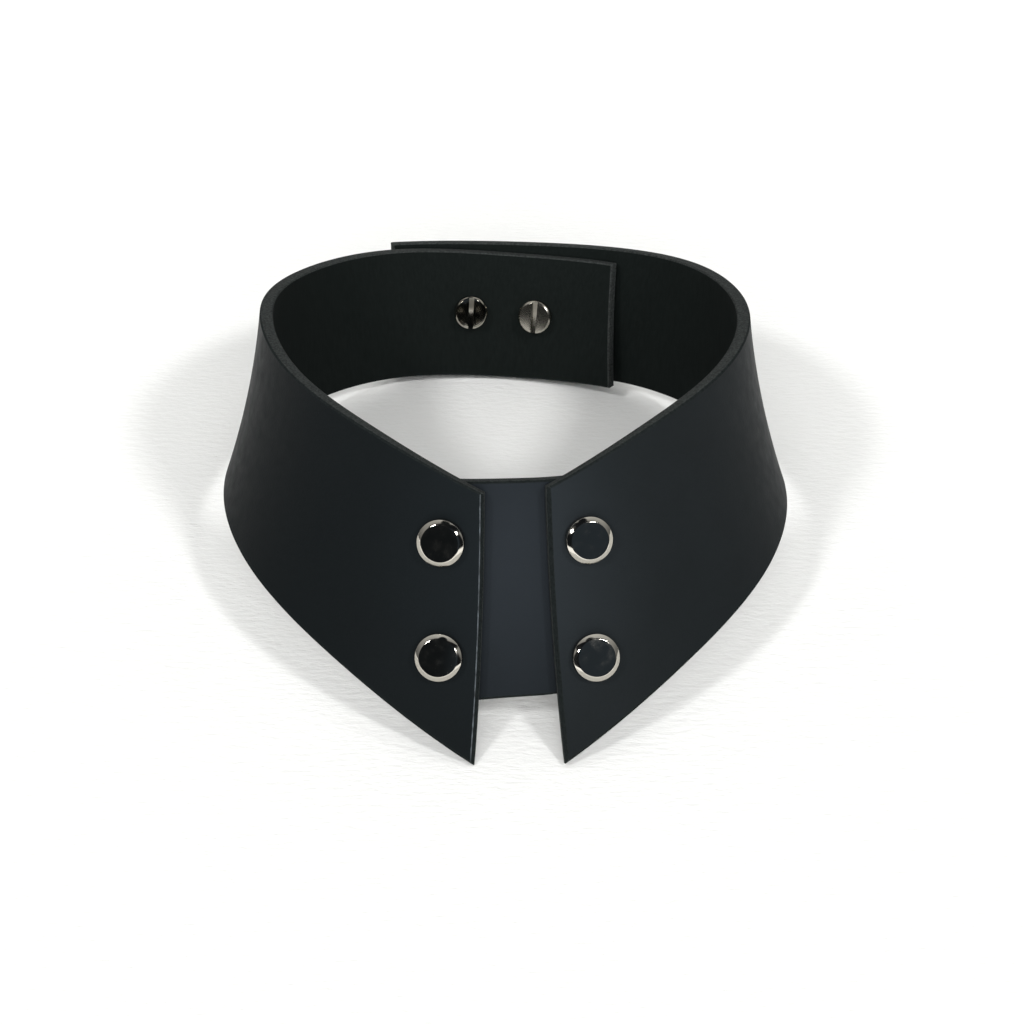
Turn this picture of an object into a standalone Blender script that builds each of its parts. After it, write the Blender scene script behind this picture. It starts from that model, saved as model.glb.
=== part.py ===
"""Leather collar choker.

Two collar halves of thick leather go round the neck. At the front their pointed ends are
screwed to a bridge that lies behind them, and at the back the left half's end lies inside the
right half's and two more screw posts hold it. The choker stands on its two points and on the
lower edge of its back, so its neck axis leans back. Sizes are in millimetres.
"""

import math
from collections import namedtuple

import bmesh
import bpy
import numpy as np
from mathutils import Matrix, Vector

MM = 0.001
SMOOTH_ANGLE = math.radians(35)
CORNER_ANGLE = math.radians(55)

# Leather: edges take a small chamfer, and pieces that meet keep a gap
LEATHER = 3.0
SEAM_GAP = 0.3
EDGE_ROUNDING = 0.5

# How the collar stands: the origin is the middle of its footprint
LEAN_BACK = math.radians(16.7)
TURNED = math.radians(0.5)
AXIS_X = 0.35
AXIS_Y = 17.9
AXIS_HEIGHT = 49.4

# One row for each upright section round the neck axis. The turn is in degrees from the front,
# reach is the skin's distance from the axis at the level of the back's top edge, flare is how
# fast that grows downwards, and top and bottom are the cut edges' drops below that level.
Section = namedtuple("Section", "turn reach flare top bottom")
LEFT_SECTIONS = (
    Section(turn=5, reach=57.0, flare=0.05, top=19.6, bottom=74.0),
    Section(turn=30, reach=57.0, flare=0.08, top=8.8, bottom=57.4),
    Section(turn=60, reach=55.5, flare=0.13, top=2.4, bottom=45.5),
    Section(turn=90, reach=56.5, flare=0.13, top=-2.2, bottom=38.0),
    Section(turn=120, reach=58.0, flare=0.06, top=-2.5, bottom=33.6),
    Section(turn=150, reach=58.5, flare=-0.01, top=-1.5, bottom=32.1),
    Section(turn=180, reach=57.0, flare=-0.07, top=0.9, bottom=33.3),
    Section(turn=215, reach=54.5, flare=-0.11, top=0.8, bottom=32.6),
)
RIGHT_SECTIONS = (
    Section(turn=5, reach=56.5, flare=0.07, top=19.9, bottom=76.1),
    Section(turn=30, reach=56.0, flare=0.11, top=8.9, bottom=58.5),
    Section(turn=60, reach=55.0, flare=0.15, top=2.2, bottom=45.8),
    Section(turn=90, reach=55.5, flare=0.12, top=-2.0, bottom=38.1),
    Section(turn=120, reach=56.0, flare=0.03, top=-3.5, bottom=34.1),
    Section(turn=150, reach=58.5, flare=-0.05, top=-1.9, bottom=32.7),
    Section(turn=180, reach=60.5, flare=-0.06, top=-0.9, bottom=33.8),
    Section(turn=215, reach=65.5, flare=-0.09, top=-1.9, bottom=32.0),
)
# How fast the flare itself grows downwards
CURL = 0.003

# The cut ends of each half, as turns in degrees: the front edge bows a little between its ends
CutEnds = namedtuple("CutEnds", "front_top front_bottom front_bow back")
LEFT_ENDS = CutEnds(front_top=4.8, front_bottom=5.3, front_bow=0.3, back=210.6)
RIGHT_ENDS = CutEnds(front_top=7.8, front_bottom=8.8, front_bow=0.2, back=207.0)

PANEL_COLUMNS = 72
PANEL_ROWS = 8

# The bridge behind the front ends: its edges' drops in the middle, and how they slope across
BRIDGE_WIDTH = 47.0
BRIDGE_TOP = 17.6
BRIDGE_BOTTOM = 61.0
BRIDGE_TOP_SLOPE = math.tan(math.radians(1.4))
BRIDGE_BOTTOM_SLOPE = math.tan(math.radians(4.9))
# Within this turn of the middle it passes from following one half to following the other
BLEND_TURN = 9.0
BRIDGE_COLUMNS = 24
BRIDGE_ROWS = 8

# Screw posts: a flat head with a bevelled rim outside, a slotted screw inside. The tube stops
# short of the inner leather, the shank short of the bore's end, and heads are seated clear.
HEAD_RADIUS = 5.0
HEAD_FLAT = 4.0
HEAD_WALL = 1.35
HEAD_HEIGHT = 2.0
POST_RADIUS = 2.5
POST_SHORT = 0.3
BORE_RADIUS = 1.7
BORE_TOP = 0.4
SHANK_RADIUS = 1.4
SHANK_SHORT = 0.6
SCREW_RADIUS = 4.2
SCREW_FLAT = 3.8
SCREW_WALL = 1.2
SCREW_HEIGHT = 1.6
SLOT_WIDTH = 1.3
SLOT_DEPTH = 0.8
HOLE_RADIUS = 2.8
HEAD_SEAT = 0.35
SCREW_SEAT = 0.55
ROUND_STEPS = 32

# Where each post goes through, on the half that is seen there, and the turn of its slot
Place = namedtuple("Place", "name half turn drop slot")
FRONT_PLACES = (
    Place(name="left_upper", half="left", turn=13.0, drop=30.0, slot=12.0),
    Place(name="left_lower", half="left", turn=12.1, drop=53.2, slot=-35.0),
    Place(name="right_upper", half="right", turn=15.7, drop=29.7, slot=70.0),
    Place(name="right_lower", half="right", turn=15.2, drop=53.3, slot=25.0),
)
BACK_PLACES = (
    Place(name="left", half="left", turn=170.9, drop=15.4, slot=-2.5),
    Place(name="right", half="left", turn=188.5, drop=16.2, slot=-3.5),
)

# What stands lowest is worn flat by the surface that the collar stands on
FLOOR_SIZE = 300.0
FLOOR_DEPTH = 30.0


def smooth_through(knots, values):
    """A function that runs smoothly through the values, as a natural cubic spline."""
    knots = np.array(knots, dtype=float)
    values = np.array(values, dtype=float)
    spans = np.diff(knots)
    slopes = np.diff(values) / spans
    last = len(knots) - 1
    system = np.eye(last + 1)
    load = np.zeros(last + 1)
    for i in range(1, last):
        system[i, i - 1 : i + 2] = (spans[i - 1], 2 * (spans[i - 1] + spans[i]), spans[i])
        load[i] = 6 * (slopes[i] - slopes[i - 1])
    bends = np.linalg.solve(system, load)

    def read(at):
        i = int(np.clip(np.searchsorted(knots, at) - 1, 0, last - 1))
        span = spans[i]
        before = at - knots[i]
        after = knots[i + 1] - at
        cubic = (bends[i] * after**3 + bends[i + 1] * before**3) / (6 * span)
        start = (values[i] / span - bends[i] * span / 6) * after
        end = (values[i + 1] / span - bends[i + 1] * span / 6) * before
        return float(cubic + start + end)

    return read


def stand(point):
    """Lean the neck axis back, turn it and lift it to where the collar stands."""
    leaning = Matrix.Rotation(-LEAN_BACK, 3, "X") @ point
    turned = Matrix.Rotation(TURNED, 3, "Z") @ leaning
    return turned + Vector((AXIS_X, AXIS_Y, AXIS_HEIGHT))


class Half:
    """One collar half: the shape of its skin, and where it is cut."""

    def __init__(self, side, sections, ends):
        turns = [section.turn for section in sections]
        self.side = side
        self.ends = ends
        self.reach = smooth_through(turns, [section.reach for section in sections])
        self.flare = smooth_through(turns, [section.flare for section in sections])
        self.top = smooth_through(turns, [section.top for section in sections])
        self.bottom = smooth_through(turns, [section.bottom for section in sections])

    def skin(self, turn, drop):
        angle = math.radians(turn)
        radius = self.reach(turn) + self.flare(turn) * drop + CURL * drop**2
        across = self.side * radius * math.sin(angle)
        return stand(Vector((across, -radius * math.cos(angle), -drop)))

    def outward(self, turn, drop):
        step = 0.1
        along = self.skin(turn + step, drop) - self.skin(turn - step, drop)
        down = self.skin(turn, drop + step) - self.skin(turn, drop - step)
        return (down.cross(along) * self.side).normalized()

    def place_at(self, u, v):
        """The turn and drop at a share u from front to back and v from top to bottom."""
        ends = self.ends
        front = ends.front_top * (1 - v) + ends.front_bottom * v - ends.front_bow * 4 * v * (1 - v)
        turn = front + (ends.back - front) * u
        drop = self.top(turn) * (1 - v) + self.bottom(turn) * v
        return turn, drop

    def panel_point(self, u, v):
        return self.skin(*self.place_at(u, v))


HALVES = {
    "left": Half(-1, LEFT_SECTIONS, LEFT_ENDS),
    "right": Half(1, RIGHT_SECTIONS, RIGHT_ENDS),
}


def bridge_point(u, v):
    """The bridge's skin: it follows both front ends from behind and blends between them."""
    across = (u - 0.5) * BRIDGE_WIDTH
    top = BRIDGE_TOP - across * BRIDGE_TOP_SLOPE
    bottom = BRIDGE_BOTTOM - across * BRIDGE_BOTTOM_SLOPE
    drop = top * (1 - v) + bottom * v
    behind = LEATHER + SEAM_GAP
    left = HALVES["left"]
    right = HALVES["right"]
    radius = left.reach(0) + left.flare(0) * drop + CURL * drop**2
    turn = math.degrees(across / radius)
    on_left = left.skin(-turn, drop) - left.outward(-turn, drop) * behind
    on_right = right.skin(turn, drop) - right.outward(turn, drop) * behind
    share = min(max((turn + BLEND_TURN) / (2 * BLEND_TURN), 0.0), 1.0)
    share = share * share * (3 - 2 * share)
    return on_left.lerp(on_right, share)


def clear_scene():
    for thing in list(bpy.data.objects):
        bpy.data.objects.remove(thing, do_unlink=True)


def new_collection(name):
    collection = bpy.data.collections.new(name)
    bpy.context.scene.collection.children.link(collection)
    return collection


def make_material(name, colour, roughness, metallic):
    material = bpy.data.materials.new(name)
    material.use_nodes = True
    shader = material.node_tree.nodes["Principled BSDF"]
    shader.inputs["Base Color"].default_value = (*colour, 1.0)
    shader.inputs["Roughness"].default_value = roughness
    shader.inputs["Metallic"].default_value = metallic
    material.diffuse_color = (*colour, 1.0)
    return material


def add_object(name, shape, collection, material=None):
    """Turn a bmesh into a named object and shade its round faces smooth."""
    mesh = bpy.data.meshes.new(name)
    shape.to_mesh(mesh)
    shape.free()
    mesh.shade_smooth()
    mesh.set_sharp_from_angle(angle=SMOOTH_ANGLE)
    if material:
        mesh.materials.append(material)
    thing = bpy.data.objects.new(name, mesh)
    collection.objects.link(thing)
    return thing


def leather_sheet(name, point_at, facing, columns, rows, collection, material):
    """A grid laid on the skin that point_at gives, thickened inwards, with rounded edges.

    The direction facing points out of the skin at the grid's first face.
    """
    shape = bmesh.new()
    bmesh.ops.create_grid(shape, x_segments=columns, y_segments=rows, size=0.5)
    for vertex in shape.verts:
        vertex.co = point_at(vertex.co.x + 0.5, 0.5 - vertex.co.y) * MM
    shape.normal_update()
    shape.faces.ensure_lookup_table()
    if shape.faces[0].normal.dot(facing) < 0:
        bmesh.ops.reverse_faces(shape, faces=shape.faces)
    sheet = add_object(name, shape, collection, material)
    wall = sheet.modifiers.new("Wall", "SOLIDIFY")
    wall.thickness = LEATHER * MM
    wall.offset = -1
    wall.use_even_offset = True
    edges = sheet.modifiers.new("Rounded edges", "BEVEL")
    edges.width = EDGE_ROUNDING * MM
    edges.segments = 1
    edges.limit_method = "ANGLE"
    edges.angle_limit = CORNER_ANGLE
    return sheet


def make_cutter(name, shape, cutters, matrix=None):
    cutter = add_object(name, shape, cutters)
    if matrix:
        cutter.matrix_world = matrix
    cutter.hide_render = True
    cutter.display_type = "WIRE"
    return cutter


def cut(thing, cutter):
    boolean = thing.modifiers.new("Cut " + cutter.name, "BOOLEAN")
    boolean.operation = "DIFFERENCE"
    boolean.solver = "EXACT"
    boolean.object = cutter


def rod(radius, length):
    shape = bmesh.new()
    bmesh.ops.create_cone(
        shape,
        cap_ends=True,
        segments=ROUND_STEPS,
        radius1=radius * MM,
        radius2=radius * MM,
        depth=length * MM,
    )
    return shape


def block(width, depth, height):
    shape = bmesh.new()
    bmesh.ops.create_cube(shape, size=1.0)
    bmesh.ops.scale(shape, vec=Vector((width, depth, height)) * MM, verts=shape.verts)
    return shape


def turned(name, profile, collection, material, matrix):
    """Turn a profile of (radius, height) pairs, from the top down its outer side."""
    shape = bmesh.new()
    points = [shape.verts.new(Vector((radius, 0, height)) * MM) for radius, height in profile]
    for first, second in zip(points, points[1:]):
        shape.edges.new((first, second))
    thing = add_object(name, shape, collection, material)
    spin = thing.modifiers.new("Turn", "SCREW")
    spin.steps = ROUND_STEPS
    spin.render_steps = ROUND_STEPS
    spin.use_merge_vertices = True
    spin.merge_threshold = 0.00001
    spin.use_smooth_shade = True
    thing.matrix_world = matrix
    return thing


def frame_at(centre, axis, up):
    """A matrix whose Z is the axis and whose Y is as near as can be to up."""
    z = axis.normalized()
    x = up.cross(z).normalized()
    y = z.cross(x)
    rotation = Matrix((x, y, z)).transposed()
    return Matrix.Translation(centre * MM) @ rotation.to_4x4()


def screw_post(names, place, lift, depth, leathers, collections, materials):
    """A post whose head lies on the outer skin and a screw that goes into it from inside.

    The outer skin is lifted off the half's own skin, and the leathers' inner side lies at a
    depth below it.
    """
    parts, cutters = collections
    half = HALVES[place.half]
    skin = half.skin(place.turn, place.drop)
    outward = half.outward(place.turn, place.drop)
    up = half.skin(place.turn, place.drop - 1) - skin

    head_seat = lift + HEAD_SEAT
    reach = head_seat + depth
    post_frame = frame_at(skin + outward * head_seat, outward, up)
    post_end = POST_SHORT - reach
    post_profile = (
        (0, HEAD_HEIGHT),
        (HEAD_FLAT, HEAD_HEIGHT),
        (HEAD_RADIUS, HEAD_WALL),
        (HEAD_RADIUS, 0),
        (POST_RADIUS, 0),
        (POST_RADIUS, post_end),
        (BORE_RADIUS, post_end),
        (BORE_RADIUS, BORE_TOP),
        (0, BORE_TOP),
    )
    turned(names[0], post_profile, parts, materials[0], post_frame)

    screw_centre = skin - outward * (depth + SCREW_SEAT)
    screw_frame = frame_at(screw_centre, -outward, up)
    screw_profile = (
        (0, SCREW_HEIGHT),
        (SCREW_FLAT, SCREW_HEIGHT),
        (SCREW_RADIUS, SCREW_WALL),
        (SCREW_RADIUS, 0),
        (SHANK_RADIUS, 0),
        (SHANK_RADIUS, SHANK_SHORT - reach),
        (0, SHANK_SHORT - reach),
    )
    screw = turned(names[1], screw_profile, parts, materials[1], screw_frame)
    slot_place = Matrix.Rotation(math.radians(place.slot), 4, "Z")
    slot_lift = Matrix.Translation(Vector((0, 0, SCREW_HEIGHT)) * MM)
    slot = block(SLOT_WIDTH, 4 * SCREW_RADIUS, 2 * SLOT_DEPTH)
    cut(screw, make_cutter(names[1] + "_slot", slot, cutters, screw_frame @ slot_place @ slot_lift))

    hole_rod = rod(HOLE_RADIUS, 2 * (reach + LEATHER))
    hole = make_cutter(names[0] + "_hole", hole_rod, cutters, post_frame)
    for leather in leathers:
        cut(leather, hole)


def build():
    clear_scene()
    parts = new_collection("leather_choker")
    cutters = new_collection("cutters")
    skin_finish = make_material("black_leather", (0.016, 0.019, 0.020), 0.5, 0.0)
    bridge_finish = make_material("black_leather_bridge", (0.022, 0.025, 0.029), 0.5, 0.0)
    head_finish = make_material("polished_nickel", (0.66, 0.64, 0.60), 0.12, 1.0)
    screw_finish = make_material("turned_nickel", (0.60, 0.58, 0.53), 0.28, 1.0)

    floor = make_cutter(
        "floor_cut",
        block(FLOOR_SIZE, FLOOR_SIZE, FLOOR_DEPTH),
        cutters,
        Matrix.Translation(Vector((0, 0, -FLOOR_DEPTH / 2)) * MM),
    )
    panels = {}
    for name, half in HALVES.items():
        panels[name] = leather_sheet(
            "panel_" + name,
            half.panel_point,
            half.outward(*half.place_at(0, 1)),
            PANEL_COLUMNS,
            PANEL_ROWS,
            parts,
            skin_finish,
        )
        cut(panels[name], floor)
    bridge = leather_sheet(
        "front_bridge",
        bridge_point,
        HALVES["left"].outward(BLEND_TURN, BRIDGE_BOTTOM),
        BRIDGE_COLUMNS,
        BRIDGE_ROWS,
        parts,
        bridge_finish,
    )

    for place in FRONT_PLACES:
        screw_post(
            ("front_post_" + place.name, "front_screw_" + place.name),
            place,
            0.0,
            2 * LEATHER + SEAM_GAP,
            (panels[place.half], bridge),
            (parts, cutters),
            (head_finish, screw_finish),
        )
    outer = HALVES["right"]
    inner = HALVES["left"]
    for place in BACK_PLACES:
        across = outer.skin(360 - place.turn, place.drop) - inner.skin(place.turn, place.drop)
        lift = across.dot(inner.outward(place.turn, place.drop))
        screw_post(
            ("back_post_" + place.name, "back_screw_" + place.name),
            place,
            lift,
            LEATHER,
            (panels["left"], panels["right"]),
            (parts, cutters),
            (head_finish, screw_finish),
        )


build()
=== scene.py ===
"""The looks of a leather collar choker held by screw posts.

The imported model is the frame. Each leather piece is laid again on the same skin, finer, with its
bevelled and burnished edges, and each post and screw is turned again with its facets and slot.
Sizes are in millimetres until a mesh is made. The front faces -Y, and the viewer's left is -X.
"""

import math
from collections import namedtuple

import bmesh
import bpy
import numpy as np
from mathutils import Matrix, Vector


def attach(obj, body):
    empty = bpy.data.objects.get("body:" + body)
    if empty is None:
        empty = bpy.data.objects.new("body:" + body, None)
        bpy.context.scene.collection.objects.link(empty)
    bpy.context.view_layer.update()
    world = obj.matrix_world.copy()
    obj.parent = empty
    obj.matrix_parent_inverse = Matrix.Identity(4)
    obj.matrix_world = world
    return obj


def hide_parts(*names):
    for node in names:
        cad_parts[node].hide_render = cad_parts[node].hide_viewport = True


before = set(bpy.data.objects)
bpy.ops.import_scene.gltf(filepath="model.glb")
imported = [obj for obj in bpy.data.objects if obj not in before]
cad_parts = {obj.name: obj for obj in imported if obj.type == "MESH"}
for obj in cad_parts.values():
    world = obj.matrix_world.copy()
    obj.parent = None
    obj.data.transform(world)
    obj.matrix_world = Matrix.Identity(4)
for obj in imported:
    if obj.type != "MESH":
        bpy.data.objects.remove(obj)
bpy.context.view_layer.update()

MM = 0.001

# Leather: its thickness, the gap at a seam, and how its edges are dressed
LEATHER = 3.0
SEAM_GAP = 0.3
END_BEVEL = 0.85
TRIM_BEVEL = 0.4
FLESH_ROUNDING = 0.4
CREASE_WIDTH = 0.14
BURNISH = 0.12
SHARP_LINE = math.radians(30)

# How a mesh is shaded: the turn that stays a sharp line, the areas in square millimetres that
# count as alike, and the weight that lets only the broadest faces count
SHARP_TURN = math.radians(50)
ALIKE_SHEET = 0.3
ALIKE_TURNED = 0.01
BROAD_FACES_ONLY = 100

# A sheet's grid runs from -0.5 to 0.5, so a point past this lies at one of its ends; and points
# of a turned shape that are this near are one point
NEAR_AN_END = 0.499
SAME_PLACE = 0.001

# How the collar stands: its neck axis leans back
LEAN_BACK = math.radians(16.7)
TURNED = math.radians(0.5)
AXIS_PLACE = Vector((0.35, 17.9, 49.4))

# One row for each upright section round the neck axis. The turn is in degrees from the front,
# reach is the skin's distance from the axis at the level of the back's top edge, flare is how
# fast that grows downwards, and top and bottom are the cut edges' drops below that level.
Section = namedtuple("Section", "turn reach flare top bottom")
LEFT_SECTIONS = (
    Section(turn=5, reach=57.0, flare=0.05, top=19.6, bottom=74.0),
    Section(turn=30, reach=57.0, flare=0.08, top=8.8, bottom=57.4),
    Section(turn=60, reach=55.5, flare=0.13, top=2.4, bottom=45.5),
    Section(turn=90, reach=56.5, flare=0.13, top=-2.2, bottom=38.0),
    Section(turn=120, reach=58.0, flare=0.06, top=-2.5, bottom=33.6),
    Section(turn=150, reach=58.5, flare=-0.01, top=-1.5, bottom=32.1),
    Section(turn=180, reach=57.0, flare=-0.07, top=0.9, bottom=33.3),
    Section(turn=215, reach=54.5, flare=-0.11, top=0.8, bottom=32.6),
)
RIGHT_SECTIONS = (
    Section(turn=5, reach=56.5, flare=0.07, top=19.9, bottom=76.1),
    Section(turn=30, reach=56.0, flare=0.11, top=8.9, bottom=58.5),
    Section(turn=60, reach=55.0, flare=0.15, top=2.2, bottom=45.8),
    Section(turn=90, reach=55.5, flare=0.12, top=-2.0, bottom=38.1),
    Section(turn=120, reach=56.0, flare=0.03, top=-3.5, bottom=34.1),
    Section(turn=150, reach=58.5, flare=-0.05, top=-1.9, bottom=32.7),
    Section(turn=180, reach=60.5, flare=-0.06, top=-0.9, bottom=33.8),
    Section(turn=215, reach=65.5, flare=-0.09, top=-1.9, bottom=32.0),
)
# How fast the flare itself grows downwards
CURL = 0.003

# The cut ends of each half, as turns in degrees: the front edge bows a little between its ends
CutEnds = namedtuple("CutEnds", "front_top front_bottom front_bow back")
LEFT_ENDS = CutEnds(front_top=4.8, front_bottom=5.3, front_bow=0.3, back=210.6)
RIGHT_ENDS = CutEnds(front_top=7.8, front_bottom=8.8, front_bow=0.2, back=207.0)

# The bridge behind the front ends: its edges' drops in the middle, and how they slope across
BRIDGE_WIDTH = 47.0
BRIDGE_TOP = 17.6
BRIDGE_BOTTOM = 61.0
BRIDGE_TOP_SLOPE = math.tan(math.radians(1.4))
BRIDGE_BOTTOM_SLOPE = math.tan(math.radians(4.9))
BLEND_TURN = 9.0

# How finely each leather piece is laid, and the flat cut that each was bent from: the least
# width and length of leather that holds it, and its area in square millimetres
PANEL_COLUMNS = 144
PANEL_ROWS = 24
BRIDGE_COLUMNS = 32
BRIDGE_ROWS = 30
Cut = namedtuple("Cut", "width length area")
LEFT_CUT = Cut(width=49.4, length=239.0, area=8846.0)
RIGHT_CUT = Cut(width=50.0, length=233.3, area=8840.0)
BRIDGE_CUT = Cut(width=46.3, length=48.2, area=2100.0)

# A post's head: a bevelled rim, a narrow facet inside it and a flat polished disc
HEAD_SEAT = 0.35
HEAD_RADIUS = 5.0
HEAD_WALL = 1.35
HEAD_BEVEL = math.radians(33)
FACET_RADIUS = 4.15
FACET_TILT = math.radians(20)
FLAT_RADIUS = 3.95
POST_RADIUS = 2.5
POST_SHORT = 0.3
BORE_RADIUS = 1.7
BORE_TOP = 0.4
TURNED_ROUNDING = 0.05

# The screw that goes into it: a round saw cuts its slot, so the slot's floor is hollow
SCREW_SEAT = 0.55
SCREW_RADIUS = 4.2
SCREW_FLAT = 3.75
SCREW_WALL = 1.2
SCREW_HEIGHT = 1.6
SHANK_RADIUS = 1.4
SHANK_SHORT = 0.6
SLOT_WIDTH = 1.25
SLOT_DEPTH = 0.9
SAW_RADIUS = 22.0
HOLE_RADIUS = 2.8
ROUND_STEPS = 96

# The leather is drawn flat under each head, and comes back to its own curve at this radius
PRESSED_TO = 9.0
PRESSED_IN = 0.06

# Where each post goes through, on the half that is seen there, the turn of its slot and how far
# its screw's face leans up, in degrees
Place = namedtuple("Place", "name half turn drop slot tilt")
FRONT_PLACES = (
    Place(name="left_upper", half="left", turn=13.0, drop=30.0, slot=12.0, tilt=0.0),
    Place(name="left_lower", half="left", turn=12.1, drop=53.2, slot=-35.0, tilt=0.0),
    Place(name="right_upper", half="right", turn=15.7, drop=29.7, slot=70.0, tilt=0.0),
    Place(name="right_lower", half="right", turn=15.2, drop=53.3, slot=25.0, tilt=0.0),
)
BACK_PLACES = (
    Place(name="left", half="left", turn=170.9, drop=15.4, slot=-2.5, tilt=5.0),
    Place(name="right", half="left", turn=188.5, drop=16.2, slot=-3.5, tilt=5.5),
)
SCUFFED = "back_right"

# The camera, as the photograph's outline and rims fix it
CAMERA_RISE = math.radians(39.3)
CAMERA_DISTANCE = 549.98
CAMERA_TARGET = Vector((1.729, 17.224, -7.506))
CAMERA_ROLL = math.radians(0.272)
LENS = 79.25
SENSOR = 36.0

# The lamps, by the turn of each from the front and its rise, in degrees: a small one on either
# side of the camera, and a broad one under it that the metal doesn't mirror
Lamp = namedtuple("Lamp", "name turn rise spread strength mirrored")
LAMPS = (
    Lamp(name="left_lamp", turn=-50, rise=46, spread=9, strength=1.1, mirrored=True),
    Lamp(name="right_lamp", turn=50, rise=46, spread=9, strength=1.25, mirrored=True),
    Lamp(name="fill_lamp", turn=0, rise=27, spread=50, strength=2.55, mirrored=False),
)
# The paper that the collar stands on
FLOOR_SIZE = 8000.0
FLOOR_FRONT = -165.0
FLOOR_DROP = 0.02

# The room: a white tent behind and overhead, low walls that reach forward from it, a bright table
# before the paper and a dark rest with a dim window. Each row is a smooth change of brightness
# over one part of the direction that is looked in, which runs from -1 to 1.
Fade = namedtuple("Fade", "name over start end at_start at_end")
ROOM_FADES = (
    Fade(name="tent front", over="forward", start=-0.07, end=0.0, at_start=0.0, at_end=1.0),
    Fade(name="tent top", over="height", start=0.965, end=0.985, at_start=1.0, at_end=0.0),
    Fade(name="wall front", over="heading", start=-0.52, end=-0.40, at_start=0.0, at_end=1.0),
    Fade(name="wall top", over="height", start=0.62, end=0.70, at_start=1.0, at_end=0.0),
    Fade(name="rear", over="heading", start=0.0, end=1.0, at_start=0.5, at_end=0.95),
    Fade(name="foot", over="height", start=0.0, end=0.7, at_start=0.4, at_end=1.0),
    Fade(name="table", over="height", start=-0.01, end=0.01, at_start=2.2, at_end=0.0),
    Fade(name="window", over="window", start=0.84, end=0.95, at_start=0.0, at_end=1.0),
)
TO_WINDOW = (0.26, -0.86, 0.44)
WINDOW = (0.038, 0.050, 0.064, 1.0)
DARK_ROOM = (0.013, 0.0155, 0.018, 1.0)
WHITE = (1.0, 1.0, 1.0, 1.0)
WARM_WHITE = (1.0, 1.0, 0.98, 1.0)

# Where the leather's colour is painted lighter as sheen, for light from the front: a place at the
# top of the front, in a space that is squat in height, how far from it the painted sheen is whole
# and is gone, and the share of the tone that comes in random clouds
PAINTED_SHEEN_SQUAT = (1.0, 1.0, 0.65)
PAINTED_SHEEN_MIDDLE = (0.0, -60.0, 32.0)
PAINTED_SHEEN_WHOLLY = 5.0
PAINTED_SHEEN_LEAST = 40.0
TONE_CLOUDS = 0.25

# How wide each material's marks are, and how high those stand that are raised
CLOUD_SIZE = 14.0
HIDE_SIZE = 9.0
HIDE_HEIGHT = 0.03
RUBBED_SIZE = 3.0
PORE_SIZE = 0.45
PORE_HEIGHT = 0.03
FIBRE_SIZE = 0.6
FIBRE_HEIGHT = 0.08
SPECK_SIZE = 0.5
SPECK_HEIGHT = 0.08
CREASE_GLINT_SIZE = 1.6
SMUDGE_SIZE = 2.2
SCUFF_SIZE = 1.4
RING_HEIGHT = 0.002
TOOTH_SIZE = 1.2
TOOTH_HEIGHT = 0.4

# How the flesh side's fibres and the paper's are drawn out along one direction
DRAWN_UPRIGHT = (1.0, 1.0, 0.12)
DRAWN_ACROSS = (0.35, 1.0, 1.0)

# The leather's faces, by the place of their finish in a piece's material slots
GRAIN = 0
FLESH = 1
EDGE = 2
CREASE = 3
BEVEL = 4
TRIM = 5


def smooth_through(knots, values):
    """A function that runs smoothly through the values, as a natural cubic spline."""
    knots = np.array(knots, dtype=float)
    values = np.array(values, dtype=float)
    spans = np.diff(knots)
    slopes = np.diff(values) / spans
    last = len(knots) - 1
    system = np.eye(last + 1)
    load = np.zeros(last + 1)
    for i in range(1, last):
        system[i, i - 1 : i + 2] = (spans[i - 1], 2 * (spans[i - 1] + spans[i]), spans[i])
        load[i] = 6 * (slopes[i] - slopes[i - 1])
    bends = np.linalg.solve(system, load)

    def read(at):
        i = int(np.clip(np.searchsorted(knots, at) - 1, 0, last - 1))
        span = spans[i]
        before = at - knots[i]
        after = knots[i + 1] - at
        cubic = (bends[i] * after**3 + bends[i + 1] * before**3) / (6 * span)
        start = (values[i] / span - bends[i] * span / 6) * after
        end = (values[i + 1] / span - bends[i + 1] * span / 6) * before
        return float(cubic + start + end)

    return read


def smooth_step(value):
    """Rise from 0 to 1 with no kink at either end."""
    share = min(max(value, 0.0), 1.0)
    return share * share * (3 - 2 * share)


def stand(point):
    """Lean the neck axis back, turn it and lift it to where the collar stands."""
    leaning = Matrix.Rotation(-LEAN_BACK, 3, "X") @ point
    return Matrix.Rotation(TURNED, 3, "Z") @ leaning + AXIS_PLACE


class Half:
    """One collar half: the shape of its skin, and where it is cut."""

    def __init__(self, side, sections, ends):
        turns = [section.turn for section in sections]
        self.side = side
        self.ends = ends
        self.reach = smooth_through(turns, [section.reach for section in sections])
        self.flare = smooth_through(turns, [section.flare for section in sections])
        self.top = smooth_through(turns, [section.top for section in sections])
        self.bottom = smooth_through(turns, [section.bottom for section in sections])

    def skin(self, turn, drop):
        angle = math.radians(turn)
        radius = self.reach(turn) + self.flare(turn) * drop + CURL * drop**2
        across = self.side * radius * math.sin(angle)
        return stand(Vector((across, -radius * math.cos(angle), -drop)))

    def outward(self, turn, drop):
        step = 0.1
        along = self.skin(turn + step, drop) - self.skin(turn - step, drop)
        down = self.skin(turn, drop + step) - self.skin(turn, drop - step)
        return (down.cross(along) * self.side).normalized()

    def place_at(self, u, v):
        """The turn and drop at a share u from front to back and v from top to bottom."""
        ends = self.ends
        front = ends.front_top * (1 - v) + ends.front_bottom * v - ends.front_bow * 4 * v * (1 - v)
        turn = front + (ends.back - front) * u
        drop = self.top(turn) * (1 - v) + self.bottom(turn) * v
        return turn, drop

    def sheet_point(self, u, v):
        """The skin's point and the direction out of it."""
        place = self.place_at(u, v)
        return self.skin(*place), self.outward(*place)


HALVES = {
    "left": Half(-1, LEFT_SECTIONS, LEFT_ENDS),
    "right": Half(1, RIGHT_SECTIONS, RIGHT_ENDS),
}


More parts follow.
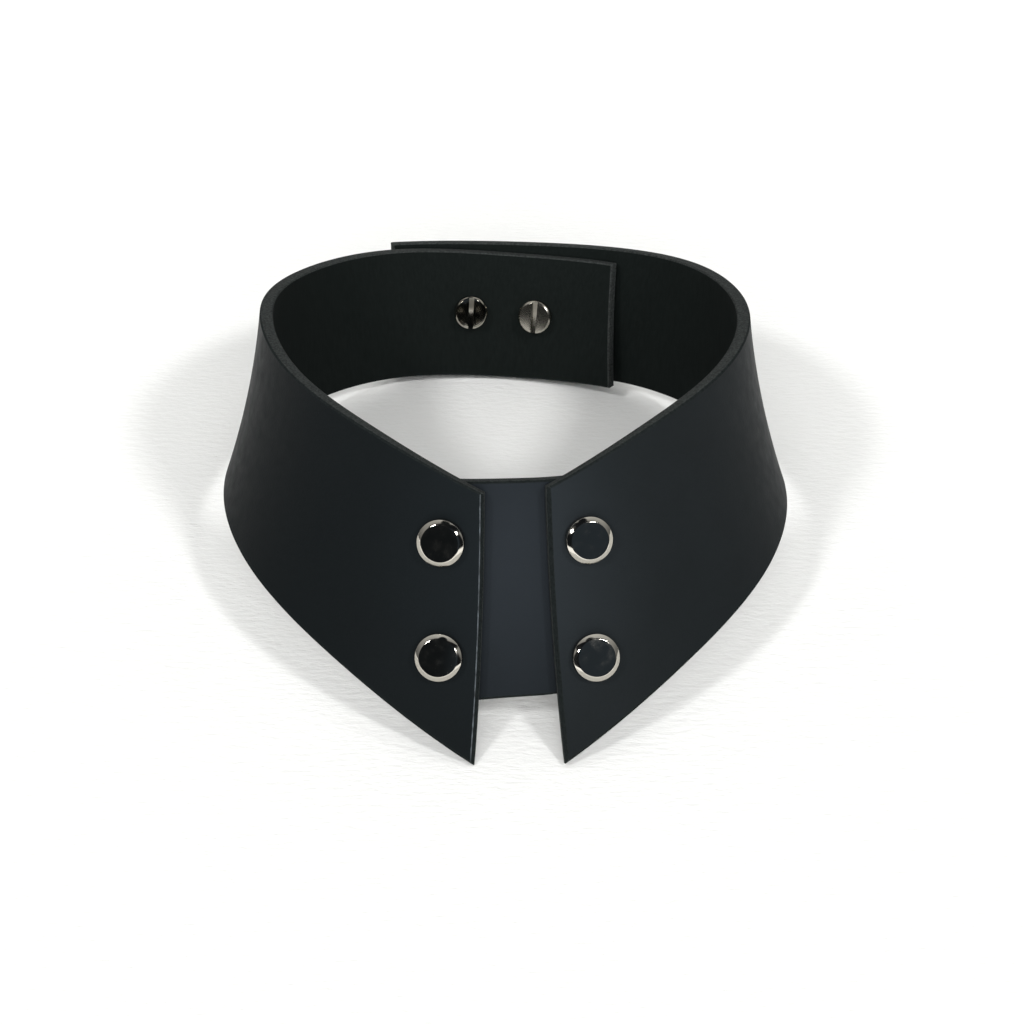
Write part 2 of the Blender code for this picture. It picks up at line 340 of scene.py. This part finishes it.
def bridge_point(u, v):
    """The bridge's skin: it follows both front ends from behind and blends between them."""
    across = (u - 0.5) * BRIDGE_WIDTH
    top = BRIDGE_TOP - across * BRIDGE_TOP_SLOPE
    bottom = BRIDGE_BOTTOM - across * BRIDGE_BOTTOM_SLOPE
    drop = top * (1 - v) + bottom * v
    left = HALVES["left"]
    right = HALVES["right"]
    radius = left.reach(0) + left.flare(0) * drop + CURL * drop**2
    turn = math.degrees(across / radius)
    left_out = left.outward(-turn, drop)
    right_out = right.outward(turn, drop)
    on_left = left.skin(-turn, drop) - left_out * (LEATHER + SEAM_GAP)
    on_right = right.skin(turn, drop) - right_out * (LEATHER + SEAM_GAP)
    share = smooth_step((turn + BLEND_TURN) / (2 * BLEND_TURN))
    return on_left.lerp(on_right, share), left_out.lerp(right_out, share).normalized()


# Screw posts: each has its place on the skin that its row names and its axis out of it, how far
# above that the outermost skin lies, how much leather it holds below, and its screw's slot

Post = namedtuple("Post", "name skin axis up lift depth slot tilt")


def post_at(place, lift, depth, prefix):
    half = HALVES[place.half]
    skin = half.skin(place.turn, place.drop)
    up = half.skin(place.turn, place.drop - 1) - skin
    axis = half.outward(place.turn, place.drop)
    return Post(prefix + place.name, skin, axis, up, lift, depth, place.slot, place.tilt)


def back_lift(place):
    """How far the outer half's skin lies above the inner half's where a back post goes through."""
    inner = HALVES["left"]
    across = HALVES["right"].skin(360 - place.turn, place.drop) - inner.skin(place.turn, place.drop)
    return across.dot(inner.outward(place.turn, place.drop))


FRONT_POSTS = [post_at(place, 0.0, 2 * LEATHER + SEAM_GAP, "front_") for place in FRONT_PLACES]
BACK_POSTS = [post_at(place, back_lift(place), LEATHER, "back_") for place in BACK_PLACES]
# Each piece's posts, with how far above that post's own skin the piece's skin lies
PRESSED_BY = {
    "left": [(post, 0.0) for post in FRONT_POSTS[:2] + BACK_POSTS],
    "right": [(post, post.lift) for post in FRONT_POSTS[2:] + BACK_POSTS],
    "bridge": [(post, -LEATHER - SEAM_GAP) for post in FRONT_POSTS],
}


def pressed(point, posts):
    """The skin's point, drawn flat where it lies under a head."""
    for post, level in posts:
        away = point - post.skin
        height = away.dot(post.axis) - level
        radius = (away - post.axis * away.dot(post.axis)).length
        share = smooth_step((PRESSED_TO - radius) / (PRESSED_TO - HEAD_RADIUS))
        if abs(height) < LEATHER:
            point = point - post.axis * (height + PRESSED_IN) * share
    return point


# Materials

def linear(colour):
    """A '#rrggbb' colour as linear red, green, blue and alpha."""
    parts = [int(colour[i : i + 2], 16) / 255 for i in (1, 3, 5)]
    return [c / 12.92 if c <= 0.04045 else ((c + 0.055) / 1.055) ** 2.4 for c in parts] + [1.0]


def add_node(tree, kind, settings, inputs):
    """Add a node with its settings, and set or link its inputs."""
    node = tree.nodes.new(kind)
    for name, value in settings.items():
        setattr(node, name, value)
    for name, value in inputs.items():
        if isinstance(value, bpy.types.NodeSocket):
            tree.links.new(value, node.inputs[name])
        else:
            node.inputs[name].default_value = value
    return node


def new_material(name, constants):
    """A material with its shader's constants set, its tree and its coordinates in millimetres."""
    material = bpy.data.materials.new(name)
    material.use_nodes = True
    tree = material.node_tree
    shader = tree.nodes["Principled BSDF"]
    for socket, value in constants.items():
        shader.inputs[socket].default_value = value
    place = add_node(tree, "ShaderNodeTexCoord", {}, {})
    to_mm = (1 / MM, 1 / MM, 1 / MM)
    in_mm = add_node(
        tree, "ShaderNodeMapping", {}, {"Vector": place.outputs["Object"], "Scale": to_mm}
    )
    return material, tree, shader, in_mm.outputs["Vector"]


def grain_leather(name, dark, light):
    """Vegetable tanned cowhide, dyed black with a matt finish: a close fine grain of pores, with
    faint cloudy patches where the finish lies thicker, so that its dull shine is never even.
    Towards the top of the front its colour is painted lighter, to a blue black: painted sheen for
    front light."""
    constants = {"Specular IOR Level": 0.02}
    material, tree, shader, place = new_material(name, constants)
    cloud = add_node(
        tree, "ShaderNodeTexNoise", {}, {"Vector": place, "Scale": 1 / CLOUD_SIZE, "Detail": 4.0}
    )
    squat = add_node(
        tree, "ShaderNodeVectorMath", {"operation": "MULTIPLY"}, {0: place, 1: PAINTED_SHEEN_SQUAT}
    )
    away = add_node(
        tree,
        "ShaderNodeVectorMath",
        {"operation": "DISTANCE"},
        {0: squat.outputs["Vector"], 1: PAINTED_SHEEN_MIDDLE},
    )
    # Painted sheen: a colour mask that is whole near the top of the front and gone farther off.
    painted_sheen = add_node(
        tree,
        "ShaderNodeMapRange",
        {"interpolation_type": "SMOOTHSTEP"},
        {
            "Value": away.outputs["Value"],
            "From Min": PAINTED_SHEEN_WHOLLY,
            "From Max": PAINTED_SHEEN_LEAST,
            "To Min": 1.0,
            "To Max": 0.0,
        },
    )
    # The tone mixes random clouds with the painted sheen.
    clouds_and_sheen = add_node(
        tree,
        "ShaderNodeMath",
        {"operation": "MULTIPLY_ADD"},
        {0: cloud.outputs["Fac"], 1: TONE_CLOUDS, 2: painted_sheen.outputs["Result"]},
    )
    tone = add_node(
        tree,
        "ShaderNodeMix",
        {"data_type": "RGBA"},
        {"Factor": clouds_and_sheen.outputs["Value"], "A": linear(dark), "B": linear(light)},
    )
    tree.links.new(tone.outputs["Result"], shader.inputs["Base Color"])
    rubbed = add_node(
        tree, "ShaderNodeTexNoise", {}, {"Vector": place, "Scale": 1 / RUBBED_SIZE, "Detail": 5.0}
    )
    dull = add_node(
        tree,
        "ShaderNodeMapRange",
        {},
        {
            "Value": rubbed.outputs["Fac"],
            "From Min": 0.3,
            "From Max": 0.7,
            "To Min": 0.37,
            "To Max": 0.47,
        },
    )
    tree.links.new(dull.outputs["Result"], shader.inputs["Roughness"])
    pores = add_node(
        tree,
        "ShaderNodeTexVoronoi",
        {"feature": "SMOOTH_F1"},
        {"Vector": place, "Scale": 1 / PORE_SIZE, "Smoothness": 0.6},
    )
    hide = add_node(
        tree, "ShaderNodeTexNoise", {}, {"Vector": place, "Scale": 1 / HIDE_SIZE, "Detail": 3.0}
    )
    fine = add_node(
        tree,
        "ShaderNodeBump",
        {},
        {"Height": pores.outputs["Distance"], "Strength": 0.5, "Distance": PORE_HEIGHT * MM},
    )
    broad = add_node(
        tree,
        "ShaderNodeBump",
        {},
        {
            "Height": hide.outputs["Fac"],
            "Strength": 1.0,
            "Distance": HIDE_HEIGHT * MM,
            "Normal": fine.outputs["Normal"],
        },
    )
    tree.links.new(broad.outputs["Normal"], shader.inputs["Normal"])
    return material


def flesh_leather():
    """The same hide's flesh side, dyed through and pasted down: short fibres that run upright,
    with no shine, so the inside reads as a soft flat black."""
    constants = {"Specular IOR Level": 0.05, "Roughness": 0.9}
    material, tree, shader, place = new_material("flesh_side_leather", constants)
    combed = add_node(
        tree,
        "ShaderNodeMapping",
        {},
        {"Vector": place, "Rotation": (LEAN_BACK, 0.0, 0.0), "Scale": DRAWN_UPRIGHT},
    )
    fibres = add_node(
        tree,
        "ShaderNodeTexNoise",
        {},
        {
            "Vector": combed.outputs["Vector"],
            "Scale": 1 / FIBRE_SIZE,
            "Detail": 6.0,
            "Roughness": 0.6,
        },
    )
    tone = add_node(
        tree,
        "ShaderNodeMix",
        {"data_type": "RGBA"},
        {"Factor": fibres.outputs["Fac"], "A": linear("#0e1211"), "B": linear("#191d1c")},
    )
    tree.links.new(tone.outputs["Result"], shader.inputs["Base Color"])
    nap = add_node(
        tree,
        "ShaderNodeBump",
        {},
        {"Height": fibres.outputs["Fac"], "Strength": 0.6, "Distance": FIBRE_HEIGHT * MM},
    )
    tree.links.new(nap.outputs["Normal"], shader.inputs["Normal"])
    return material


def burnished_edge(name, dark, light):
    """The cut edge, dyed and rubbed: the packed fibres take the dye unevenly, so it is a greyer
    black than the faces, with fine specks and a low waxy shine. Its bevels are given a darker
    colour."""
    constants = {"Specular IOR Level": 0.02, "Roughness": 0.6}
    material, tree, shader, place = new_material(name, constants)
    specks = add_node(
        tree,
        "ShaderNodeTexNoise",
        {},
        {"Vector": place, "Scale": 1 / SPECK_SIZE, "Detail": 6.0, "Roughness": 0.65},
    )
    dye = add_node(
        tree,
        "ShaderNodeMapRange",
        {},
        {"Value": specks.outputs["Fac"], "From Min": 0.32, "From Max": 0.68},
    )
    tone = add_node(
        tree,
        "ShaderNodeMix",
        {"data_type": "RGBA"},
        {"Factor": dye.outputs["Result"], "A": linear(dark), "B": linear(light)},
    )
    tree.links.new(tone.outputs["Result"], shader.inputs["Base Color"])
    rough = add_node(
        tree,
        "ShaderNodeBump",
        {},
        {"Height": specks.outputs["Fac"], "Strength": 0.5, "Distance": SPECK_HEIGHT * MM},
    )
    tree.links.new(rough.outputs["Normal"], shader.inputs["Normal"])
    return material


def crease_with_painted_highlight():
    """The crease where the grain meets the bevel, with a glossier finish; its pale colour is a
    painted highlight, the thin pale line beside the left half's front edge, which comes and goes
    along its length."""
    constants = {"Specular IOR Level": 0.5, "Roughness": 0.4}
    material, tree, shader, place = new_material("rubbed_leather_crease", constants)
    glint_noise = add_node(
        tree,
        "ShaderNodeTexNoise",
        {},
        {"Vector": place, "Scale": 1 / CREASE_GLINT_SIZE, "Detail": 4.0},
    )
    painted_glint = add_node(
        tree,
        "ShaderNodeMapRange",
        {},
        {"Value": glint_noise.outputs["Fac"], "From Min": 0.35, "From Max": 0.65},
    )
    tone = add_node(
        tree,
        "ShaderNodeMix",
        {"data_type": "RGBA"},
        {"Factor": painted_glint.outputs["Result"], "A": linear("#181c1e"), "B": linear("#50575c")},
    )
    tree.links.new(tone.outputs["Result"], shader.inputs["Base Color"])
    return material


def polished_nickel():
    """Nickel plate polished to a mirror: it takes its tone from the room, with cloudy handling
    marks that are too faint to show except in a dark reflection."""
    constants = {"Metallic": 1.0, "Base Color": linear("#b0aca3")}
    material, tree, shader, place = new_material("polished_nickel_plate", constants)
    marks = add_node(
        tree, "ShaderNodeTexNoise", {}, {"Vector": place, "Scale": 1 / SMUDGE_SIZE, "Detail": 4.0}
    )
    gloss = add_node(
        tree,
        "ShaderNodeMapRange",
        {},
        {
            "Value": marks.outputs["Fac"],
            "From Min": 0.42,
            "From Max": 0.7,
            "To Min": 0.05,
            "To Max": 0.16,
        },
    )
    tree.links.new(gloss.outputs["Result"], shader.inputs["Roughness"])
    return material


def turned_nickel(name, least, most):
    """Nickel plate over a lathe turned face: rings left by the tool, drawn coarser than they are
    so that they show, spread each reflection across the head. A scuffed one is rougher, from its
    least to its most, and spreads it more."""
    constants = {"Metallic": 1.0, "Base Color": linear("#b0aca1")}
    material, tree, shader, place = new_material(name, constants)
    turned = add_node(tree, "ShaderNodeAttribute", {"attribute_name": "turned_place"}, {})
    rings = add_node(
        tree,
        "ShaderNodeTexWave",
        {"wave_type": "RINGS", "rings_direction": "Z"},
        {"Vector": turned.outputs["Vector"], "Scale": 0.8, "Distortion": 0.4, "Detail": 2.0},
    )
    marks = add_node(
        tree, "ShaderNodeTexNoise", {}, {"Vector": place, "Scale": 1 / SCUFF_SIZE, "Detail": 4.0}
    )
    gloss = add_node(
        tree,
        "ShaderNodeMapRange",
        {},
        {"Value": marks.outputs["Fac"], "To Min": least, "To Max": most},
    )
    tree.links.new(gloss.outputs["Result"], shader.inputs["Roughness"])
    cut = add_node(
        tree,
        "ShaderNodeBump",
        {},
        {"Height": rings.outputs["Fac"], "Strength": 1.0, "Distance": RING_HEIGHT * MM},
    )
    tree.links.new(cut.outputs["Normal"], shader.inputs["Normal"])
    return material


def studio_paper():
    """White drawing paper: matt, with a faint tooth whose fibres lie across the view."""
    constants = {"Specular IOR Level": 0.1, "Roughness": 0.95, "Base Color": linear("#eeeeec")}
    material, tree, shader, place = new_material("white_paper", constants)
    laid = add_node(tree, "ShaderNodeMapping", {}, {"Vector": place, "Scale": DRAWN_ACROSS})
    tooth = add_node(
        tree,
        "ShaderNodeTexNoise",
        {},
        {
            "Vector": laid.outputs["Vector"],
            "Scale": 1 / TOOTH_SIZE,
            "Detail": 5.0,
            "Roughness": 0.6,
        },
    )
    raised = add_node(
        tree,
        "ShaderNodeBump",
        {},
        {"Height": tooth.outputs["Fac"], "Strength": 0.6, "Distance": TOOTH_HEIGHT * MM},
    )
    tree.links.new(raised.outputs["Normal"], shader.inputs["Normal"])
    return material


# Shapes

def add_object(name, shape, materials):
    """Turn a bmesh in millimetres into an object at the origin, in metres."""
    bmesh.ops.scale(shape, vec=(MM, MM, MM), verts=shape.verts)
    mesh = bpy.data.meshes.new(name)
    shape.to_mesh(mesh)
    shape.free()
    mesh.shade_smooth()
    for material in materials:
        mesh.materials.append(material)
    thing = bpy.data.objects.new(name, mesh)
    bpy.context.scene.collection.objects.link(thing)
    return thing


def even_shading(thing, alike):
    """Let the broad faces keep their own direction and the narrow ones carry the turn: faces
    whose areas differ by less than alike, in square millimetres, count as equally broad."""
    thing.data.set_sharp_from_angle(angle=SHARP_TURN)
    weighted = thing.modifiers.new("Even shading", "WEIGHTED_NORMAL")
    weighted.keep_sharp = True
    weighted.weight = BROAD_FACES_ONLY
    weighted.thresh = alike * MM * MM


def cut_away(thing, cutters):
    """Cut the cutters' shapes out of the object's mesh, and remove the cutters."""
    for cutter in cutters:
        boolean = thing.modifiers.new("Cut", "BOOLEAN")
        boolean.operation = "DIFFERENCE"
        boolean.solver = "EXACT"
        boolean.object = cutter
    bpy.context.view_layer.update()
    whole = thing.evaluated_get(bpy.context.evaluated_depsgraph_get())
    cut_mesh = bpy.data.meshes.new_from_object(whole)
    thing.modifiers.clear()
    spare = thing.data
    thing.data = cut_mesh
    bpy.data.meshes.remove(spare)
    cut_mesh.name = thing.name
    for cutter in cutters:
        spare = cutter.data
        bpy.data.objects.remove(cutter)
        bpy.data.meshes.remove(spare)


def frame_at(centre, axis, up):
    """A matrix in millimetres whose Z is the axis and whose Y is as near as can be to up."""
    z = axis.normalized()
    x = up.cross(z).normalized()
    return Matrix.Translation(centre) @ Matrix((x, z.cross(x), z)).transposed().to_4x4()


def hole_cutter(post):
    shape = bmesh.new()
    bmesh.ops.create_cone(
        shape,
        cap_ends=True,
        segments=ROUND_STEPS,
        radius1=HOLE_RADIUS,
        radius2=HOLE_RADIUS,
        depth=6 * LEATHER + 2 * post.lift,
        matrix=frame_at(post.skin, post.axis, post.up),
    )
    return add_object("hole", shape, [])


def edges_between(shape, first, second):
    """The edges where faces of one finish meet faces of another."""
    wanted = {first, second}
    return [e for e in shape.edges if {face.material_index for face in e.link_faces} == wanted]


def bevel_edges(shape, edges, offset, segments, finish):
    made = bmesh.ops.bevel(
        shape,
        geom=edges,
        offset=offset,
        offset_type="OFFSET",
        segments=segments,
        profile=0.5,
        affect="EDGES",
        clamp_overlap=False,
        material=-1,
    )
    for face in made["faces"]:
        face.material_index = finish


def leather_piece(name, sheet_point, posts, columns, rows, materials):
    """A sheet of leather on the skin that sheet_point gives, with dressed edges and holes."""
    shape = bmesh.new()
    bmesh.ops.create_grid(shape, x_segments=columns, y_segments=rows, size=0.5)
    skin = shape.verts[:]
    outer_rim = [edge for edge in shape.edges if edge.is_boundary]
    outer_ends = [e for e in outer_rim if all(abs(v.co.x) > NEAR_AN_END for v in e.verts)]
    copied = bmesh.ops.duplicate(shape, geom=shape.verts[:] + shape.edges[:] + shape.faces[:])
    under = copied["vert_map"]
    inner_rim = [copied["edge_map"][edge] for edge in outer_rim]
    for element in copied["geom"]:
        if isinstance(element, bmesh.types.BMFace):
            element.material_index = FLESH
    for vertex in skin:
        point, outward = sheet_point(vertex.co.x + 0.5, 0.5 - vertex.co.y)
        vertex.co = pressed(point, posts)
        under[vertex].co = vertex.co - outward * LEATHER
    sides = bmesh.ops.bridge_loops(shape, edges=outer_rim + inner_rim)
    for face in sides["faces"]:
        face.material_index = EDGE
    bmesh.ops.recalc_face_normals(shape, faces=shape.faces)
    bevel_edges(shape, outer_ends, END_BEVEL, 1, BEVEL)
    bevel_edges(shape, edges_between(shape, GRAIN, EDGE), TRIM_BEVEL, 1, TRIM)
    bevel_edges(shape, edges_between(shape, FLESH, EDGE), FLESH_ROUNDING, 2, EDGE)
    for first, second in ((EDGE, EDGE), (EDGE, BEVEL), (EDGE, TRIM), (BEVEL, TRIM)):
        meeting = edges_between(shape, first, second)
        corners = [edge for edge in meeting if edge.calc_face_angle(0.0) > SHARP_LINE]
        bevel_edges(shape, corners, BURNISH, 2, EDGE)
    bevel_edges(shape, edges_between(shape, GRAIN, TRIM), BURNISH, 2, TRIM)
    bevel_edges(shape, edges_between(shape, GRAIN, BEVEL), CREASE_WIDTH, 2, CREASE)
    for vertex in shape.verts:
        vertex.co.z = max(vertex.co.z, 0.0)
    piece = add_object(name, shape, materials)
    cut_away(piece, [hole_cutter(post) for post, _ in posts])
    even_shading(piece, ALIKE_SHEET)
    return piece


def turned_shape(profile):
    """Spin a profile of (radius, height) pairs round Z, with its corners a little rounded."""
    shape = bmesh.new()
    points = [shape.verts.new((radius, 0, height)) for radius, height in profile]
    for first, second in zip(points, points[1:]):
        shape.edges.new((first, second))
    bmesh.ops.bevel(
        shape,
        geom=points[1:-1],
        offset=TURNED_ROUNDING,
        segments=2,
        profile=0.5,
        affect="VERTICES",
        material=-1,
    )
    bmesh.ops.spin(
        shape,
        geom=shape.verts[:] + shape.edges[:],
        cent=(0, 0, 0),
        axis=(0, 0, 1),
        angle=2 * math.pi,
        steps=ROUND_STEPS,
        use_merge=True,
    )
    bmesh.ops.remove_doubles(shape, verts=shape.verts, dist=SAME_PLACE)
    bmesh.ops.recalc_face_normals(shape, faces=shape.faces)
    return shape


def place_turned(piece, matrix):
    """Keep each point's place on the lathe as an attribute, then move the mesh to its place."""
    mesh = piece.data
    lathe = mesh.attributes.new("turned_place", "FLOAT_VECTOR", "POINT")
    points = np.zeros(len(mesh.vertices) * 3, dtype=np.float32)
    mesh.vertices.foreach_get("co", points)
    lathe.data.foreach_set("vector", points / MM)
    in_metres = matrix.copy()
    in_metres.translation = matrix.translation * MM
    mesh.transform(in_metres)
    even_shading(piece, ALIKE_TURNED)


def post_piece(post, material):
    """A post: the head on the skin, and the bored tube that goes through the leather."""
    seat = post.lift + HEAD_SEAT
    end = POST_SHORT - seat - post.depth
    facet_height = HEAD_WALL + (HEAD_RADIUS - FACET_RADIUS) * math.tan(HEAD_BEVEL)
    flat_height = facet_height + (FACET_RADIUS - FLAT_RADIUS) * math.tan(FACET_TILT)
    profile = (
        (0, flat_height),
        (FLAT_RADIUS, flat_height),
        (FACET_RADIUS, facet_height),
        (HEAD_RADIUS, HEAD_WALL),
        (HEAD_RADIUS, -HEAD_SEAT),
        (POST_RADIUS, -HEAD_SEAT),
        (POST_RADIUS, end),
        (BORE_RADIUS, end),
        (BORE_RADIUS, BORE_TOP),
        (0, BORE_TOP),
    )
    piece = add_object("stud_" + post.name, turned_shape(profile), [material])
    place_turned(piece, frame_at(post.skin + post.axis * seat, post.axis, post.up))
    return piece


def screw_piece(post, material):
    """A slotted screw whose head lies on the leather's inner side."""
    end = SHANK_SHORT - post.lift - HEAD_SEAT - post.depth
    profile = (
        (0, SCREW_HEIGHT),
        (SCREW_FLAT, SCREW_HEIGHT),
        (SCREW_RADIUS, SCREW_WALL),
        (SCREW_RADIUS, -SCREW_SEAT),
        (SHANK_RADIUS, -SCREW_SEAT),
        (SHANK_RADIUS, end),
        (0, end),
    )
    piece = add_object("screw_" + post.name, turned_shape(profile), [material])
    saw = bmesh.new()
    upright = Matrix.Rotation(math.radians(post.tilt), 3, "X")
    bmesh.ops.create_cone(
        saw,
        cap_ends=True,
        segments=4 * ROUND_STEPS,
        radius1=SAW_RADIUS,
        radius2=SAW_RADIUS,
        depth=SLOT_WIDTH,
        matrix=Matrix.Rotation(math.pi / 2, 4, "Y"),
    )
    bmesh.ops.translate(saw, vec=(0, 0, SCREW_HEIGHT - SLOT_DEPTH + SAW_RADIUS), verts=saw.verts)
    turn = Matrix.Rotation(math.radians(post.slot), 3, "Z")
    bmesh.ops.rotate(saw, cent=(0, 0, SCREW_HEIGHT), matrix=upright @ turn, verts=saw.verts)
    cut_away(piece, [add_object("slot", saw, [])])
    centre = post.skin - post.axis * (post.depth + SCREW_SEAT)
    lean = Matrix.Rotation(math.radians(-post.tilt), 4, "X")
    place_turned(piece, frame_at(centre, -post.axis, post.up) @ lean)
    return piece


def build_leather():
    # The right half's leather is a lighter copy of the left's, with painted light for the light
    # that falls more on that half; the bridge's lighter tone is painted sheen towards its top.
    grains = {
        "left": grain_leather("matt_black_grain_leather", dark="#111415", light="#15191b"),
        "right": grain_leather("worn_black_grain_leather", dark="#171a1b", light="#23272a"),
    }
    bridge_grain = grain_leather("smooth_black_grain_leather", dark="#121517", light="#23272b")
    flesh = flesh_leather()
    edge = burnished_edge("burnished_leather_edge", dark="#1b1d1d", light="#3c3f3e")
    # The bevels and trims are given a darker colour than the cut edge.
    bevel = burnished_edge("dyed_leather_bevel", dark="#0f1212", light="#202424")
    crease = crease_with_painted_highlight()
    built = []
    # The left half's crease carries the painted highlight; the right half's takes the bevel's
    # darker colour.
    for side, cut, line in (("left", LEFT_CUT, crease), ("right", RIGHT_CUT, bevel)):
        piece = leather_piece(
            "collar_half_" + side,
            HALVES[side].sheet_point,
            PRESSED_BY[side],
            PANEL_COLUMNS,
            PANEL_ROWS,
            (grains[side], flesh, edge, line, bevel, bevel),
        )
        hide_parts("panel_" + side)
        built.append((piece, "collar_leather", cut, "paper_floor"))
    piece = leather_piece(
        "collar_bridge",
        bridge_point,
        PRESSED_BY["bridge"],
        BRIDGE_COLUMNS,
        BRIDGE_ROWS,
        (bridge_grain, flesh, edge, bevel, bevel, bevel),
    )
    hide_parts("front_bridge")
    built.append((piece, "bridge_leather", BRIDGE_CUT, "collar_half_left"))
    for piece, slot, cut, carried_by in built:
        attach(piece, "root")


def build_posts():
    polished = polished_nickel()
    turned = turned_nickel("turned_nickel_plate", least=0.07, most=0.13)
    scuffed = turned_nickel("scuffed_nickel_plate", least=0.2, most=0.28)
    for post in FRONT_POSTS + BACK_POSTS:
        end, name = post.name.split("_", 1)
        stud = post_piece(post, polished)
        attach(stud, "root")
        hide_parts(f"{end}_post_{name}")
        screw = screw_piece(post, scuffed if post.name == SCUFFED else turned)
        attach(screw, "root")
        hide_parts(f"{end}_screw_{name}")


def build_floor():
    shape = bmesh.new()
    bmesh.ops.create_grid(shape, x_segments=1, y_segments=1, size=FLOOR_SIZE / 2)
    middle = (0, FLOOR_FRONT + FLOOR_SIZE / 2, -FLOOR_DROP)
    bmesh.ops.translate(shape, vec=middle, verts=shape.verts)
    floor = add_object("paper_floor", shape, [studio_paper()])


def build_camera():
    lens = bpy.data.cameras.new("camera")
    lens.lens = LENS
    lens.sensor_width = SENSOR
    camera = bpy.data.objects.new("camera", lens)
    bpy.context.scene.collection.objects.link(camera)
    back = Vector((0, -math.cos(CAMERA_RISE), math.sin(CAMERA_RISE)))
    place = (CAMERA_TARGET + back * CAMERA_DISTANCE) * MM
    tilt = Matrix.Rotation(math.pi / 2 - CAMERA_RISE, 4, "X")
    roll = Matrix.Rotation(CAMERA_ROLL, 4, "Z")
    camera.matrix_world = Matrix.Translation(place) @ tilt @ roll
    bpy.context.scene.camera = camera


def build_lamps():
    for row in LAMPS:
        lamp = bpy.data.lights.new(row.name, "SUN")
        lamp.energy = row.strength
        lamp.angle = math.radians(row.spread)
        thing = bpy.data.objects.new(row.name, lamp)
        bpy.context.scene.collection.objects.link(thing)
        thing.visible_glossy = row.mirrored
        turn = math.radians(row.turn)
        rise = math.radians(row.rise)
        level = Vector((math.sin(turn), -math.cos(turn), 0.0)) * math.cos(rise)
        towards = level + Vector((0.0, 0.0, math.sin(rise)))
        thing.rotation_euler = towards.to_track_quat("Z", "Y").to_euler()


def build_room():
    """A white tent behind and overhead, low walls at the sides, and a dark room in front, with a
    dim window behind the camera's right shoulder and a bright table before the paper's front
    edge. The camera itself sees plain white past the paper."""
    world = bpy.data.worlds.new("studio")
    world.use_nodes = True
    bpy.context.scene.world = world
    tree = world.node_tree
    tree.nodes.clear()
    way = add_node(tree, "ShaderNodeTexCoord", {}, {})
    level = add_node(
        tree,
        "ShaderNodeVectorMath",
        {"operation": "MULTIPLY"},
        {0: way.outputs["Generated"], 1: (1.0, 1.0, 0.0)},
    )
    heading = add_node(
        tree, "ShaderNodeVectorMath", {"operation": "NORMALIZE"}, {0: level.outputs["Vector"]}
    )
    turned = add_node(tree, "ShaderNodeSeparateXYZ", {}, {"Vector": heading.outputs["Vector"]})
    axes = add_node(tree, "ShaderNodeSeparateXYZ", {}, {"Vector": way.outputs["Generated"]})

    facing = add_node(
        tree,
        "ShaderNodeVectorMath",
        {"operation": "DOT_PRODUCT"},
        {0: way.outputs["Generated"], 1: TO_WINDOW},
    )
    sources = {
        "forward": axes.outputs["Y"],
        "height": axes.outputs["Z"],
        "heading": turned.outputs["Y"],
        "window": facing.outputs["Value"],
    }
    faded = {}
    for fade in ROOM_FADES:
        ramp = add_node(
            tree,
            "ShaderNodeMapRange",
            {"interpolation_type": "SMOOTHSTEP"},
            {
                "Value": sources[fade.over],
                "From Min": fade.start,
                "From Max": fade.end,
                "To Min": fade.at_start,
                "To Max": fade.at_end,
            },
        )
        faded[fade.name] = ramp.outputs["Result"]
    for name, operation, first, second in (
        ("tent", "MULTIPLY", "tent front", "tent top"),
        ("low walls", "MULTIPLY", "wall front", "wall top"),
        ("all walls", "MAXIMUM", "tent", "low walls"),
        ("lit walls", "MULTIPLY", "all walls", "rear"),
        ("strength", "MULTIPLY", "lit walls", "foot"),
    ):
        joined = add_node(
            tree,
            "ShaderNodeMath",
            {"operation": operation},
            {0: faded[first], 1: faded[second]},
        )
        faded[name] = joined.outputs["Value"]
    walls = add_node(
        tree,
        "ShaderNodeBackground",
        {},
        {"Color": WARM_WHITE, "Strength": faded["strength"]},
    )
    table = add_node(
        tree, "ShaderNodeBackground", {}, {"Color": WHITE, "Strength": faded["table"]}
    )
    dim = add_node(
        tree,
        "ShaderNodeMix",
        {"data_type": "RGBA"},
        {"Factor": faded["window"], "A": DARK_ROOM, "B": WINDOW},
    )
    front = add_node(tree, "ShaderNodeBackground", {}, {"Color": dim.outputs["Result"]})
    bright = add_node(
        tree,
        "ShaderNodeAddShader",
        {},
        {0: walls.outputs["Background"], 1: table.outputs["Background"]},
    )
    room = add_node(
        tree,
        "ShaderNodeAddShader",
        {},
        {0: bright.outputs["Shader"], 1: front.outputs["Background"]},
    )
    plain = add_node(tree, "ShaderNodeBackground", {}, {"Color": WHITE})
    ray = add_node(tree, "ShaderNodeLightPath", {}, {})
    seen = add_node(
        tree,
        "ShaderNodeMixShader",
        {},
        {
            "Fac": ray.outputs["Is Camera Ray"],
            1: room.outputs["Shader"],
            2: plain.outputs["Background"],
        },
    )
    add_node(tree, "ShaderNodeOutputWorld", {}, {"Surface": seen.outputs["Shader"]})


bpy.context.scene.view_settings.view_transform = "Standard"
build_camera()
build_lamps()
build_room()
build_floor()
build_leather()
build_posts()
